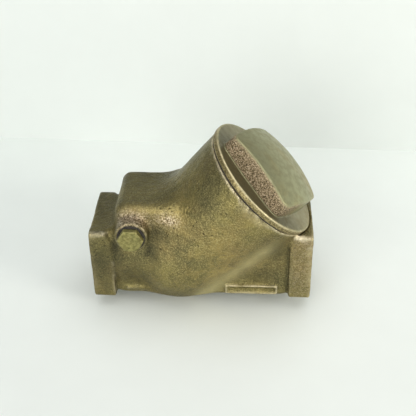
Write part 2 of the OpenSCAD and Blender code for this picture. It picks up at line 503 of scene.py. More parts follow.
def use_group(tree, name, vector, **values):
    """Places a shared group with its other inputs by name; gives its outputs. It is built once."""
    node = tree.nodes.new("ShaderNodeGroup")
    node.node_tree = bpy.data.node_groups.get(name) or SHARED_GROUPS[name]()
    feed(tree, vector, node.inputs["Vector"])
    for key, value in values.items():
        feed(tree, value, node.inputs[key.replace("_", " ")])
    return node.outputs


def new_material(name):
    """Material with an empty tree, a Principled shader and Object coordinates."""
    material = bpy.data.materials.new(name)
    material.use_nodes = True
    tree = material.node_tree
    tree.nodes.clear()
    out = tree.nodes.new("ShaderNodeOutputMaterial")
    shader = tree.nodes.new("ShaderNodeBsdfPrincipled")
    tree.links.new(shader.outputs[0], out.inputs[0])
    coords = tree.nodes.new("ShaderNodeTexCoord")
    return material, tree, shader, coords.outputs["Object"]


def give_finish(tree, shader, colour, metal, rough):
    """Feeds the shader its colour, its share of metal and its roughness."""
    for name, value in (("Base Color", colour), ("Metallic", metal), ("Roughness", rough)):
        feed(tree, value, shader.inputs[name])


def bump_into(tree, shader, height, distance):
    """Feeds a height through a Bump node into the shader's normal."""
    bump = add_node(tree, "ShaderNodeBump", Strength=1.0, Distance=distance, Height=height)
    tree.links.new(bump.outputs[0], shader.inputs["Normal"])


def cast_bronze(name, base, dark, warm, rub, depth=0.00055, rough=(0.40, 0.56)):
    """Aged sand cast bronze: tarnish clouds, specks, grain, pits and rubbed edges."""
    material, tree, shader, coords = new_material(name)
    grain = use_group(tree, "Cast Grain", coords, Grain_Scale=1500.0, Pit_Scale=640.0)
    tarnish = use_group(tree, "Tarnish Clouds", coords)
    wear = use_group(tree, "Edge Wear", coords)
    layers = (
        (tarnish["Dark"], 1.0, dark),
        (tarnish["Warm"], 0.7, warm),
        (tarnish["Specks"], 0.40, dark),
        (grain["Pits"], 0.75, dimmed(dark, 0.25)),
        (wear["Grime"], 0.65, dimmed(dark, 0.35)),
        (wear["Rubbed"], 1.0, rub),
    )
    colour = layered(tree, base, layers)
    spread = mix_colour(tree, tarnish["Dark"], rough[0], rough[1])
    spread = mix_colour(tree, wear["Rubbed"], spread, rough[0] * 0.75)
    give_finish(tree, shader, colour, 0.86, spread)
    bump_into(tree, shader, grain["Height"], depth)
    return material, tree, shader, coords, colour


def turned_metal(name, base, dark, rough, metal=0.95, dulling=0.5):
    """Machined metal gone dull: fine tool marks under light tarnish."""
    material, tree, shader, coords = new_material(name)
    tarnish = use_group(tree, "Tarnish Clouds", coords, Cloud_Scale=120.0, Speck_Scale=700.0)
    wear = use_group(tree, "Edge Wear", coords, Breakup_Scale=500.0)
    layers = (
        (tarnish["Dark"], dulling, dark),
        (tarnish["Specks"], dulling * 0.5, dark),
        (wear["Grime"], 0.5, dimmed(dark, 0.3)),
    )
    spread = mix_colour(tree, tarnish["Specks"], rough, rough + 0.2)
    give_finish(tree, shader, layered(tree, base, layers), metal, spread)
    bump_into(tree, shader, noise(tree, coords, 2600.0, 2.0, 0.5), 0.00003)
    return material


def dull_solid(name, base, dark, rough, scale=500.0, depth=0.00004):
    """Fibre or polymer: no metal, a soft mottle and a fine bump."""
    material, tree, shader, coords = new_material(name)
    mottle = noise(tree, coords, scale, 4.0, 0.6)
    colour = ramp(tree, mottle, ((0.3, dark), (0.7, base)))
    spread = ramp(tree, mottle, ((0.3, rough + 0.1), (0.7, rough)))
    give_finish(tree, shader, colour, 0.0, spread)
    bump_into(tree, shader, mottle, depth)
    return material


# ---------------------------------------------------------------- sizes and colours

def step_property(name, description, default, low, high):
    """Spacing of a surface mesh, in millimetres."""
    return FloatProperty(name=name, description=description, default=default, min=low, max=high)


def colour_property(name, description, default):
    """Colour that a user can change."""
    return FloatVectorProperty(
        name=name, description=description, subtype="COLOR", default=default, min=0, max=1
    )


class ValveSizes(bpy.types.PropertyGroup):
    """Sizes of the meshes and the threads."""

    body_step: step_property(
        "Casting Step", "Spacing of the casting's surface mesh, in millimetres", 0.5, 0.3, 1.5
    )
    cap_step: step_property(
        "Cap Step", "Spacing of the cap's surface mesh, in millimetres", 0.36, 0.25, 1.2
    )
    small_step: step_property(
        "Small Part Step", "Spacing of the plug's surface mesh, in millimetres", 0.12, 0.08, 0.5
    )
    pipe_pitch: FloatProperty(
        name="Pipe Thread Pitch", description="Pitch of the pipe thread", default=0.001814, subtype="DISTANCE"
    )
    cap_pitch: FloatProperty(
        name="Cap Thread Pitch", description="Pitch of the cap thread", default=0.002, subtype="DISTANCE"
    )
    ring_sides: IntProperty(
        name="Ring Sides", description="Sides of the round rings", default=128, min=24, max=256
    )


class ValveColours(bpy.types.PropertyGroup):
    """Colours of the metals and the floor."""

    bronze: colour_property("Bronze", "Main colour of the cast bronze", (0.265, 0.221, 0.074))
    bronze_dark: colour_property("Dark Tarnish", "Colour of the dark tarnish", (0.105, 0.095, 0.042))
    bronze_warm: colour_property("Warm Tarnish", "Colour of the warm brown tarnish", (0.27, 0.19, 0.072))
    bronze_rub: colour_property("Rubbed Bronze", "Colour of rubbed edges", (0.60, 0.50, 0.28))
    cap_face: colour_property("Cap Face", "Colour of the smooth top of the cap", (0.36, 0.35, 0.20))
    cap_side: colour_property("Cap Side", "Colour of the rough sides of the cap", (0.22, 0.165, 0.085))
    brass: colour_property("Plug Brass", "Colour of the hex plug", (0.22, 0.20, 0.070))
    floor: colour_property("Floor", "Colour of the floor and wall", (0.83, 0.87, 0.845))


def sizes():
    """The sizes that a user can change."""
    return bpy.context.scene.valve_sizes


def shade(name):
    """A colour that a user can change, as three plain numbers."""
    return tuple(getattr(bpy.context.scene.valve_colours, name))


# ---------------------------------------------------------------- valve body

def body_outside(x, y, z, axes):
    """Outline of the casting, in millimetres."""
    s, t = cap_axes(x, z)
    radial = np.sqrt(t**2 + y**2)
    flow = np.sqrt(y**2 + z**2)
    end = np.minimum(x, BODY_L - x)

    # Square run between the ends, drawn in a little behind each end.
    half = RUN_HALF - 0.8 * bell((end - HUB_L, 2.4))
    run = np.maximum(round_bar(y, z, half, RUN_HALF + 0.25, 1.9), (HUB_L - 3.0) - end)

    # Round belly, slanted neck that widens to the cap, and the housing over the hanger's eye.
    belly = np.sqrt((x - CROSS_X) ** 2 + y**2 + z**2) - BELLY_R
    neck = np.maximum((radial - (NECK_R + NECK_FLARE * s / NECK_TOP)) * 0.995, -s - 1.0)
    neck = np.maximum(neck, s - NECK_TOP - 2.0)
    solid = smooth_union(belly, neck, 1.2)
    solid = smooth_union(solid, run, 3.8)
    lean = 0.07 * (z - 10.0)
    housing = round_box(x - 20.2 - lean, y, z - 10.1, (11.3, 13.3, 14.6), 3.2)
    solid = smooth_union(solid, housing, 5.6)

    # Boss that the pin's plug screws into.
    pin_line = np.sqrt((x - PIN_X) ** 2 + (z - PIN_Z) ** 2)
    boss = rod(pin_line, -y, 5.85, 0.0, BOSS_FACE, 0.45)
    solid = smooth_union(solid, boss, 1.8)

    # Square ends, their inner corners turned down.
    # The inlet's end came out of the sand a little larger and lower.
    inlet = np.where(x < 20, 1.0, 0.0)
    half = HUB_W / 2 + INLET_GROWTH * inlet
    block = round_bar(y, z + INLET_DROP * inlet, half, half, 0.9)
    block = smooth_common(block, np.maximum(-end, end - HUB_L), 0.5)
    corner_r = HUB_W / 2 * math.sqrt(2) + 1
    below = 5.0 * np.clip(2 - z, 0, 1)
    shoulder = (flow - (corner_r - 1.2 * (end - HUB_L + 3.0) + below)) * 0.64
    block = smooth_common(block, shoulder, 0.5)
    solid = smooth_union(solid, block, 0.9)

    # Small blank bar, then a blank raised pad with a rim.
    bar = round_box(x - 16.8, y + 12.7, z + 10.6, (4.6, 1.15, 0.75), 0.5)
    solid = smooth_union(solid, bar, 0.6)
    skin = 0.13 * lumps(*axes, 6.5, 11) + 0.06 * lumps(*axes, 2.4, 12) + 0.035 * lumps(*axes, 1.1, 13)
    pad = round_box(x - PAD_X, y + 12.4, z - PAD_Z, (9.6, 1.7, 1.95), 0.3)
    hollow = round_box(x - PAD_X, y + 14.6, z - PAD_Z, (8.75, 1.1, 1.2), 0.25)
    return smooth_union(solid + skin, smooth_cut(pad, hollow, 0.2), 0.3)


def body_inside(x, y, z):
    """Everything cored or machined out of the casting, in millimetres."""
    s, t = cap_axes(x, z)
    radial = np.sqrt(t**2 + y**2)
    flow = np.sqrt(y**2 + z**2)
    end = np.minimum(x, BODY_L - x)
    pin_line = np.sqrt((x - PIN_X) ** 2 + (z - PIN_Z) ** 2)

    # Tapered threaded mouths with a countersink.
    pipe = np.maximum(flow - (PIPE_R + 0.55 - end / 32.0), end - PIPE_L)
    mouth = (flow - (PIPE_R + 1.7 - end)) * 0.7
    parts = [np.maximum(mouth, end - 3.0)]

    # Inlet way and chamber, and the port through the seat.
    inlet = rod(flow, x, WAY_R, PIPE_L - 0.5, 22.0)
    inlet = np.minimum(inlet, rod(flow, x, WAY_R + 2.3, 18.2, 31.5, 2.5))
    parts.append(smooth_common(inlet, s + 7.0, 0.8))
    parts.append(rod(radial, s, PORT_R, -11.0, 4.0))

    # Valve chamber with the raised seat left standing, the cap's thread and the neck's top.
    chamber = rod(radial, s, CAP_THREAD_R - 1.5, -4.4, 44.0, 0.8)
    parts.append(smooth_cut(chamber, rod(radial, s, 9.2, -8.0, SEAT_FACE, 0.15), 0.2))
    parts.append(rod(radial, s, CAP_THREAD_R + 0.08, 28.3, 44.0))
    parts.append(rod(radial, s, FLANGE_R + 0.3, NECK_TOP, 60.0))
    parts.append(rod(flow, x, WAY_R, 38.0, BODY_L - PIPE_L + 0.5))

    # Pocket round the hanger's eye, and room for its swing.
    side = t + PIN_REACH
    room = np.maximum(-s - 4.1, side * -math.sin(DISC_OPEN) + s * math.cos(DISC_OPEN) - 4.1)
    room = np.maximum(np.maximum(room, side - 8.0), np.maximum(-side - 2.9, np.abs(y) - 6.1))
    parts.append(np.minimum(rod(pin_line, np.abs(y), 4.1, -9.0, 6.1), room))

    # The pin's bore and the plug's thread.
    parts.append(rod(pin_line, -y, PIN_R + 0.04, -10.6, 20.0))
    parts.append(rod(pin_line, -y, 3.34, 12.4, 30.0))
    hollow = pipe
    for part in parts:
        hollow = np.minimum(hollow, part)
    return hollow


def body_field(x, y, z, axes):
    """The cored casting."""
    return smooth_cut(body_outside(x, y, z, axes), body_inside(x, y, z), 0.3)


def painted_shade_mask(x, y, z, upward):
    """Painted shade on the casting: dark spots, sheltered places, faces that look up, the grooves behind the
    ends and the whole back.
    """
    s, t = cap_axes(x, z)
    end = np.minimum(x, BODY_L - x)
    shades = [
        strength * bell((x - at_x, wide), (z - at_z, tall)) * (y < back)
        for strength, at_x, wide, at_z, tall, back in SHADE_SPOTS
    ]
    # Painted shade on the neck's upper-left flank, on faces that look up, in the grooves behind the ends and
    # over the whole back.
    shades.append(0.50 * fade(-t, 3, 12) * fade(s, 16, 8))
    shades.append(0.50 * fade(upward, 0.6, 0.3) * (x < 34))
    shades.append(0.80 * bell((end - HUB_L - 0.6, 0.7)) * (y < -6) * (z < 9))
    shades.append(0.80 * fade(y, -4, 10))
    return 1.0 - np.prod([1.0 - np.clip(v, 0, 1) for v in shades], axis=0)


def wear_and_highlight_mask(x, y, z):
    """Where handling has worn the casting bright and where highlights are painted: corners, the neck's lip
    and the pad's rim.
    """
    s = cap_axes(x, z)[0]
    ridge = bell((y + 13.4, 0.8), (z - 13.4, 0.8))
    ridge = ridge * (0.8 * (x < HUB_L - 1) + 1.0 * (x > BODY_L - HUB_L + 1))
    lip = bell((s - NECK_TOP + 0.2, 0.5)) * (y < 5)
    along, across = np.abs(x - PAD_X), np.abs(z - PAD_Z)
    pad_ends = bell((along - 9.3, 0.4)) * (across < 2.2)
    pad_sides = bell((across - 1.65, 0.4)) * (along < 9.8)
    pad_rim = np.maximum(pad_ends, pad_sides) * (y < -13.6)
    inner_edge = bell((x - HUB_L + 0.2, 0.5), (y + 13.6, 0.5)) * (z < 2)
    return ridge + 0.7 * lip + 0.45 * inner_edge + 0.5 * pad_rim


def paint_body(mesh):
    """Stores where the casting gets golden painted light, painted shade in its hollows and elsewhere, a pale
    painted highlight along the crease, rubbed wear with painted highlights, and grain.
    """
    x, y, z = columns(mesh.vertices, "co")
    s, t = cap_axes(x, z)
    # Painted light: golden on the front of the belly and neck, and along the fillet between the housing and
    # the neck.
    golden = bell((x - 47, 14), (z - 4, 12)) * (y < -6)
    golden += 0.8 * bell((x - 35, 4), (z - 24, 6)) * (y < 0)
    paint(mesh, "lit", golden)
    # Painted shade in the hollows beside the boss and between the inlet end and the boss.
    hollow = 0.6 * bell((x - 24.5, 3.6), (z - 16.0, 1.8))
    hollow += bell((x - 22.0, 1.8), (z - 7.6, 3.6))
    hollow += bell((x - 9.0, 1.3), (z - 8.2, 3.4))
    paint(mesh, "hollow", hollow * (y < -11.5) * (y > -16))
    paint(mesh, "shaded", painted_shade_mask(x, y, z, columns(mesh.vertices, "normal")[2]))
    # Pale painted highlight along the crease between the neck and the outlet run.
    crease = bell((t - 15.2, 3.2)) * (y < -8) * fade(s, -10, 6) * fade(-s, -38, 10)
    paint(mesh, "pale", crease)
    # Rubbed wear with painted highlights on the ends' top corners, the neck's lip, the pad's rim and the
    # inlet end's inner edge.
    paint(mesh, "rubbed", wear_and_highlight_mask(x, y, z))
    grainy = bell((x - PIN_X, 5.5), (z - PIN_Z - 4.5, 2.6), (y + 15.5, 3.6))
    grainy += 0.8 * bell((x - 29.5, 4.0), (z - 20.5, 2.0), (y + 13.5, 3.5))
    grainy += 0.16 * fade(x, BODY_L - HUB_L, 2) * (y < -12.5)
    paint(mesh, "rough_patch", grainy)


def mark_worked(mesh):
    """Gives the machined faces their own finish, on a mesh that is already in metres."""
    x, y, z = columns(mesh.polygons, "center") * 1000
    endways = np.abs(columns(mesh.polygons, "normal")[0])
    s, t = cap_axes(x, z)
    flow, radial = np.hypot(y, z), np.hypot(t, y)
    end = np.minimum(x, BODY_L - x)
    worked = (flow < 11.6) & (end < PIPE_L + 0.4)
    worked |= (end < 0.6) & (endways > 0.85)
    worked |= (s > NECK_TOP - 0.12) & (radial < FLANGE_R + 0.2)
    worked |= (s > 28.0) & (radial < CAP_THREAD_R + 0.4)
    worked |= (np.abs(s - SEAT_FACE) < 0.2) & (radial < 9.4)
    mesh.polygons.foreach_set("material_index", worked.astype(np.int32))
    mesh.update()


def body_bronze():
    """The body's cast bronze, with golden painted light on the front, painted shade, painted glints, rubbed
    edges with painted highlights, and speckled on the boss.
    """
    tones = (shade(name) for name in ("bronze", "bronze_dark", "bronze_warm", "bronze_rub"))
    material, tree, shader, coords, colour = cast_bronze("aged_bronze", *tones)
    broken = patches(tree, coords, 160.0, 6.0, 0.7, (0.42, 0.0), (0.62, 1.0), 0.4)
    veil = patches(tree, coords, 70.0, 5.0, 0.65, (0.30, 0.62), (0.58, 1.0), 0.5)
    glint = patches(tree, coords, 2400.0, 3.0, 0.65, (0.48, 0.0), (0.62, 1.0))
    bits = patches(tree, coords, 420.0, 4.0, 0.65, (0.40, 0.25), (0.56, 1.0))
    shaded = attribute(tree, "shaded")
    clear = math_node(tree, "SUBTRACT", 0.50, times(tree, shaded, 0.36))
    grit = ((0.38, (0.08, 0.055, 0.035)), (0.50, (0.40, 0.30, 0.20)), (0.60, (0.92, 0.76, 0.56)))
    speckle = ramp(tree, noise(tree, coords, 1700.0, 3.0, 0.6), grit)
    layers = (
        # Painted light: golden on the lit front.
        (attribute(tree, "lit"), times(tree, broken, 0.75), (0.48, 0.36, 0.12)),
        # Painted shade, deeper painted shade in the hollows, then a pale painted highlight along the crease.
        (times(tree, shaded, veil), 0.85, (0.058, 0.055, 0.028)),
        (attribute(tree, "hollow"), 0.8, (0.030, 0.028, 0.015)),
        (times(tree, attribute(tree, "pale"), 0.85), veil, (0.58, 0.51, 0.27)),
        # Painted glints of the sandy grain, weaker under the painted shade.
        (glint, clear, (0.56, 0.47, 0.21)),
        # Rubbed wear and painted highlights on the edges.
        (attribute(tree, "rubbed"), bits, (0.86, 0.76, 0.54)),
        (attribute(tree, "rough_patch"), 0.95, speckle),
    )
    feed(tree, layered(tree, colour, layers), shader.inputs["Base Color"])
    return material


class VALVE_OT_body(bpy.types.Operator):
    """Cast body with its cored chambers, bores and blank raised pad"""

    bl_idname = "valve.body_casting"
    bl_label = "Body Casting"

    def execute(self, context):
        low, high = (-1.5, -21.5, -21.0), (81.5, 24.5, 47.5)
        mesh = field_mesh("body_casting", body_field, low, high, sizes().body_step, 0.004)
        paint_body(mesh)
        cast = body_bronze()
        machined = turned_metal("worked_bronze", (0.50, 0.40, 0.22), (0.20, 0.15, 0.08), 0.38)
        settle_mesh(mesh)
        add_piece("body_casting", mesh, "valve", ["valve_body"], [cast, machined])
        mark_worked(mesh)
        return {"FINISHED"}


# ---------------------------------------------------------------- cap

def cap_field(x, y, z, axes):
    """The cap in its own frame, Z along its axis, in millimetres."""
    radial = np.sqrt(x**2 + y**2)
    flange = rod(radial, z, FLANGE_R, FLANGE_BOTTOM, FLANGE_TOP, 0.45)
    skirt = rod(radial, z, CAP_THREAD_R - 0.75, FLANGE_BOTTOM - 9.0, FLANGE_TOP - 0.5, 0.5)
    collar = rod(radial, z, CAP_THREAD_R - 0.1, FLANGE_BOTTOM - 1.6, FLANGE_TOP - 0.5)

    # Square head. Each side is part of a circle that bulges at its middle.
    a = x * math.cos(HEAD_TURN) + y * math.sin(HEAD_TURN)
    b = y * math.cos(HEAD_TURN) - x * math.sin(HEAD_TURN)
    side_r = ((HEAD_W / 2) ** 2 + SIDE_BULGE**2) / (2 * SIDE_BULGE)
    shift = side_r - HEAD_W / 2 - SIDE_BULGE
    side_a = np.sqrt((np.abs(a) + shift) ** 2 + b**2) - side_r
    side_b = np.sqrt((np.abs(b) + shift) ** 2 + a**2) - side_r
    square = smooth_common(side_a, side_b, 1.6)
    square = smooth_common(square, radial - (HEAD_W / 2 * math.sqrt(2) - 1.0), 0.6)
    dome_z = FLANGE_TOP + DOME_RISE + HEAD_W**2 / 4 / DOME_R - DOME_R
    dome = np.sqrt(x**2 + y**2 + (z - dome_z) ** 2) - DOME_R
    rough = 0.07 * lumps(*axes, 1.3, 21) + 0.05 * lumps(*axes, 0.8, 22)
    head = smooth_common(square + rough, dome + 0.015 * lumps(*axes, 6.0, 23), 0.8)
    head = np.maximum(head, FLANGE_TOP - 1.0 - z)

    # Flange with a nicked rim, then the hollow threaded skirt under it.
    rim = np.where(np.abs(z - (FLANGE_BOTTOM + FLANGE_TOP) / 2) < 0.9, 0.05, 0.0) * lumps(*axes, 1.0, 24)
    solid = smooth_union(flange + rim + 0.04 * lumps(*axes, 5.0, 25), head, 0.9)
    solid = np.minimum(solid, np.minimum(skirt, collar))
    hollow = rod(radial, z, CAP_THREAD_R - 3.6, FLANGE_BOTTOM - 12.0, FLANGE_BOTTOM - 0.8, 1.2)
    return smooth_cut(solid, hollow, 0.3)


def paint_cap(mesh):
    """Stores where the cap is rough, turned, painted with shade, flat, rubbed or given painted highlights,
    and inside.
    """
    x, y, z = columns(mesh.vertices, "co")
    upward = columns(mesh.vertices, "normal")[2]
    radial = np.hypot(x, y)
    front = math.radians(-123)
    facing = (x * math.cos(front) + y * math.sin(front)) / np.maximum(radial, 1)
    sideways = fade(-upward, -0.55, 0.25)
    head_side = sideways * (z > FLANGE_TOP + 0.15) * (radial < FLANGE_R - 1.5)
    paint(mesh, "rough_patch", head_side * np.clip(0.1 + 1.6 * facing, 0, 1))
    paint(mesh, "rim", sideways * (z > FLANGE_BOTTOM) * (radial > FLANGE_R - 0.6))
    # Painted shade on the flange top beside the head, strongest on the side that faces the front.
    low_side = np.clip(0.35 + 1.3 * facing, 0.1, 1)
    flat = (upward > 0.75) * (np.abs(z - FLANGE_TOP) < 0.8) * (radial < FLANGE_R - 0.6)
    paint(mesh, "groove", flat * low_side)
    paint(mesh, "flange", flat)
    # Painted highlights along the flange's crest, strongest on the front side, and along the head's top edge,
    # with rubbed wear.
    crest = bell((radial - FLANGE_R + 0.25, 0.3), (z - FLANGE_TOP + 0.15, 0.3))
    brow = FLANGE_TOP + 5.6 + 4.8 * (1 - (radial / 20.6) ** 2)
    top_edge = sideways * bell((z - brow, 0.9)) * (radial < 21)
    paint(mesh, "rubbed", crest * low_side + 0.5 * top_edge)
    paint(mesh, "inner", z < FLANGE_BOTTOM + 0.02)


def cap_bronze():
    """Smooth greenish face, rough speckled sides, painted shade on the flange top, painted highlights on the
    edges and a machined inside.
    """
    material, tree, shader, coords = new_material("cap_bronze")
    grain = use_group(tree, "Cast Grain", coords, Grain_Scale=1100.0, Pit_Scale=520.0)
    tarnish = use_group(tree, "Tarnish Clouds", coords, Cloud_Scale=60.0, Speck_Scale=420.0)
    wear = use_group(tree, "Edge Wear", coords, Breakup_Scale=420.0)
    face, side = shade("cap_face"), shade("cap_side")
    brown = (face[0] * 1.05, face[1] * 0.88, face[2] * 0.66)
    rough_side = attribute(tree, "rough_patch")
    speckle = noise(tree, coords, 2300.0, 3.0, 0.62)
    grit = ((0.36, (0.035, 0.024, 0.014)), (0.48, side))
    grit += ((0.58, (0.42, 0.32, 0.20)), (0.70, (0.66, 0.55, 0.40)))
    turned = ((0.38, (0.09, 0.066, 0.026)), (0.52, (0.24, 0.185, 0.075)), (0.66, (0.46, 0.37, 0.18)))
    bits = patches(tree, coords, 480.0, 4.0, 0.65, (0.38, 0.2), (0.54, 1.0))
    layers = (
        (tarnish["Warm"], 1.0, brown),
        (tarnish["Specks"], 0.3, dimmed(face, 0.62)),
        (wear["Grime"], 0.7, (0.06, 0.052, 0.034)),
        (wear["Rubbed"], 0.8, (0.66, 0.58, 0.40)),
        (attribute(tree, "flange"), 0.6, (0.36, 0.31, 0.20)),
        # Painted shade on the flange top beside the head.
        (attribute(tree, "groove"), 0.75, (0.10, 0.088, 0.040)),
        (rough_side, 1.0, ramp(tree, speckle, grit)),
        (attribute(tree, "rim"), 0.9, ramp(tree, speckle, turned)),
        # Rubbed wear and painted highlights on the flange's crest and the head's top edge.
        (attribute(tree, "rubbed"), bits, (0.70, 0.60, 0.36)),
        (attribute(tree, "inner"), 0.9, (0.44, 0.36, 0.20)),
    )
    metal = mix_colour(tree, rough_side, 0.80, 0.55)
    smooth = ramp(tree, tarnish["Specks"], ((0.0, 0.40), (1.0, 0.55)))
    spread = mix_colour(tree, rough_side, smooth, 0.62)
    give_finish(tree, shader, layered(tree, face, layers), metal, spread)
    height = times(tree, grain["Height"], ramp(tree, rough_side, ((0.0, 0.10), (1.0, 0.4))))
    height = math_node(tree, "ADD", height, times(tree, speckle, rough_side))
    bump_into(tree, shader, height, 0.0004)
    return material


class VALVE_OT_cap(bpy.types.Operator):
    """Screwed cap with its domed square head"""

    bl_idname = "valve.square_cap"
    bl_label = "Square Cap"

    def execute(self, context):
        low, high = (-26, -26, 30.5), (26, 26, 54)
        mesh = field_mesh("square_cap", cap_field, low, high, sizes().cap_step, 0.004)
        paint_cap(mesh)
        settle_mesh(mesh, CAP_FRAME)
        add_piece("square_cap", mesh, "cap", ["cap"], [cap_bronze()])
        return {"FINISHED"}


# ---------------------------------------------------------------- repeated and swept parts

def geometry_tree(name, inputs):
    """New geometry tree with a Geometry input, the named inputs and a Geometry output."""
    tree = bpy.data.node_groups.new(name, "GeometryNodeTree")
    tree.is_modifier = True
    tree.interface.new_socket("Geometry", in_out="INPUT", socket_type="NodeSocketGeometry")
    for label, kind, default in inputs:
        input_socket(tree, label, kind, default)
    input_socket(tree, "Material", "NodeSocketMaterial", None)
    tree.interface.new_socket("Geometry", in_out="OUTPUT", socket_type="NodeSocketGeometry")
    return tree, tree.nodes.new("NodeGroupInput").outputs, tree.nodes.new("NodeGroupOutput").inputs


def sweep_out(tree, start, end, curve, profile, smooth):
    """Sweeps the profile along the curve, realizes it and gives it the tree's material."""
    normals = add_node(tree, "GeometryNodeSetCurveNormal", Curve=curve)
    normals.mode = "Z_UP"
    turned = normals.outputs[0]
    swept = add_node(tree, "GeometryNodeCurveToMesh", Curve=turned, Profile_Curve=profile, Fill_Caps=True)
    shaded = add_node(tree, "GeometryNodeSetShadeSmooth", Geometry=swept.outputs[0], Shade_Smooth=smooth)
    real = add_node(tree, "GeometryNodeRealizeInstances", Geometry=shaded.outputs[0])
    painted = add_node(
        tree, "GeometryNodeSetMaterial", Geometry=real.outputs[0], Material=start["Material"]
    )
    feed(tree, painted.outputs[0], end[0])


def thread_tree():
    """Helical thread ridge that climbs along Z."""
    tree, start, end = geometry_tree(
        "Thread Helix",
        (
            ("Turns", "NodeSocketFloat", 7.0),
            ("Pitch", "NodeSocketFloat", 0.0018),
            ("Root Radius Start", "NodeSocketFloat", 0.0102),
            ("Root Radius End", "NodeSocketFloat", 0.0098),
            ("Tooth Height", "NodeSocketFloat", 0.001),
            ("Steps", "NodeSocketInt", 80),
        ),
    )
    pitch, tooth = start["Pitch"], start["Tooth Height"]
    spiral = add_node(
        tree,
        "GeometryNodeCurveSpiral",
        Resolution=start["Steps"],
        Rotations=start["Turns"],
        Start_Radius=start["Root Radius Start"],
        End_Radius=start["Root Radius End"],
        Height=times(tree, start["Turns"], pitch),
        Reverse=False,
    )
    root, crest = times(tree, pitch, 0.46), times(tree, pitch, 0.07)
    quad = tree.nodes.new("GeometryNodeCurvePrimitiveQuadrilateral")
    quad.mode = "POINTS"
    corners = (
        (0.0, root),
        (tooth, crest),
        (tooth, times(tree, crest, -1.0)),
        (0.0, times(tree, root, -1.0)),
    )
    for i, (x, y) in enumerate(corners):
        point = add_node(tree, "ShaderNodeCombineXYZ", X=x, Y=y)
        feed(tree, point.outputs[0], quad.inputs[f"Point {i + 1}"])
    sweep_out(tree, start, end, spiral.outputs[0], quad.outputs[0], False)
    return tree


def ring_tree():
    """Flat ring with rounded edges, the middle of its section at Z = 0."""
    tree, start, end = geometry_tree(
        "Round Ring",
        (
            ("Inner Radius", "NodeSocketFloat", 0.018),
            ("Outer Radius", "NodeSocketFloat", 0.022),
            ("Thickness", "NodeSocketFloat", 0.0006),
            ("Edge", "NodeSocketFloat", 0.0001),
            ("Sides", "NodeSocketInt", 128),
        ),
    )
    inner, outer = start["Inner Radius"], start["Outer Radius"]
    middle = times(tree, math_node(tree, "ADD", inner, outer), 0.5)
    circle = add_node(tree, "GeometryNodeCurvePrimitiveCircle", Resolution=start["Sides"], Radius=middle)
    width = math_node(tree, "SUBTRACT", outer, inner)
    quad = add_node(
        tree, "GeometryNodeCurvePrimitiveQuadrilateral", Width=width, Height=start["Thickness"]
    )
    fillet = tree.nodes.new("GeometryNodeFilletCurve")
    fillet.mode = "POLY"
    feed(tree, quad.outputs[0], fillet.inputs["Curve"])
    feed(tree, start["Edge"], fillet.inputs["Radius"])
    fillet.inputs["Count"].default_value = 3
    sweep_out(tree, start, end, circle.outputs[0], fillet.outputs[0], True)
    return tree


def grown(name, tree, material, matrix, **values):
    """Mesh that a geometry tree makes with these inputs, put in place by a matrix in millimetres."""
    holder = link(bpy.data.objects.new(name, bpy.data.meshes.new(name + "_seed")))
    modifier = holder.modifiers.new("grow", "NODES")
    modifier.node_group = tree
    for item in tree.interface.items_tree:
        if item.item_type != "SOCKET" or item.in_out != "INPUT":
            continue
        key = item.name.replace(" ", "_")
        if key in values:
            modifier[item.identifier] = values[key]
        elif item.name == "Material":
            modifier[item.identifier] = material
    mesh = evaluated(holder, name)
    if not len(mesh.polygons):
        raise RuntimeError(f"{name} came out empty")
    placement = matrix.copy()
    placement.translation = matrix.translation * MM
    mesh.transform(placement)
    work = bmesh.new()
    work.from_mesh(mesh)
    bmesh.ops.remove_doubles(work, verts=work.verts, dist=1e-7)
    bmesh.ops.recalc_face_normals(work, faces=work.faces)
    work.to_mesh(mesh)
    work.free()
    mesh.materials.clear()
    mesh.materials.append(material)
    return mesh


def up_axis(height):
    """Placement at a height on the cap axis."""
    return CAP_FRAME @ Matrix.Translation((0, 0, height))


class VALVE_OT_threads(bpy.types.Operator):
    """Pipe threads in both ends and the cap's thread"""

    bl_idname = "valve.threads"
    bl_label = "Threads"

    def execute(self, context):
        tree = thread_tree()
        worked = bpy.data.materials["worked_bronze"]
        inset = 0.9
        quarter = math.pi / 2
        inwards = Matrix.Translation((inset, 0, 0)) @ Matrix.Rotation(quarter, 4, "Y")
        back = Matrix.Translation((BODY_L - inset, 0, 0)) @ Matrix.Rotation(-quarter, 4, "Y")
        pipe_pitch, cap_pitch = sizes().pipe_pitch, sizes().cap_pitch
        pipe = {
            "Turns": (PIPE_L - 2.2) * MM / pipe_pitch,
            "Pitch": pipe_pitch,
            "Root_Radius_Start": (PIPE_R + 0.62) * MM,
            "Root_Radius_End": (PIPE_R + 0.28) * MM,
            "Tooth_Height": 0.98 * MM,
            "Steps": 80,
        }
        screw = {
            "Turns": 6.8 * MM / cap_pitch,
            "Pitch": cap_pitch,
            "Root_Radius_Start": (CAP_THREAD_R - 0.9) * MM,
            "Root_Radius_End": (CAP_THREAD_R - 0.9) * MM,
            "Tooth_Height": -0.85 * MM,
            "Steps": 110,
        }
        threads = (
            ("inlet_thread", "valve", "body_bronze", inwards, pipe),
            ("outlet_thread", "valve", "body_bronze", back, pipe),
            ("cap_thread", "cap", "cap_bronze", up_axis(FLANGE_BOTTOM - 8.4), screw),
        )
        for name, body, slot, matrix, values in threads:
            add_piece(name, grown(name, tree, worked, matrix, **values), body)
        return {"FINISHED"}


